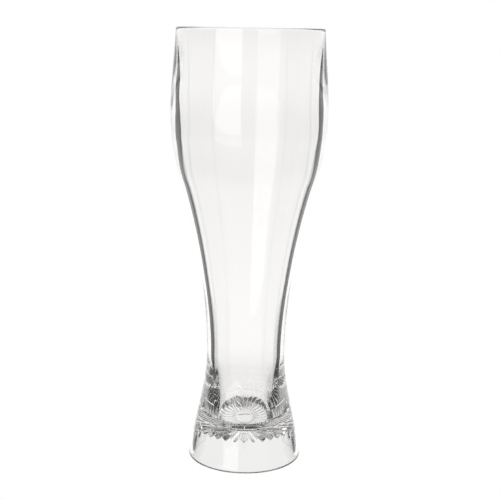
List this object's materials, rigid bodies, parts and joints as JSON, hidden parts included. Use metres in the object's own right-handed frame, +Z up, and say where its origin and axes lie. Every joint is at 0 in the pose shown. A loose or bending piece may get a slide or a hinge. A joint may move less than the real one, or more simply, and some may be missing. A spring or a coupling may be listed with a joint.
{
  "type": "beer glass",
  "caption": "Tall clear wheat-beer glass: a bulging, thick-heeled bowl that tapers to a waist, standing in the socket of a flared hollow foot with a star-grooved ceiling.",
  "frame": {"origin": "centre of the foot's standing ring, on the table", "axes": "+Z up the glass's axis, from foot to rim; X and Y are alike, because the glass is round"},
  "size_m": [0.0854, 0.0854, 0.24],
  "materials": {
    "bowl_glass": "clear, fire polished, slightly wavy inside",
    "foot_glass": "clear, pressed and polished"
  },
  "bodies": {
    "root": {"bowl": "bowl_glass", "foot": "foot_glass"}
  },
  "joints": []
}
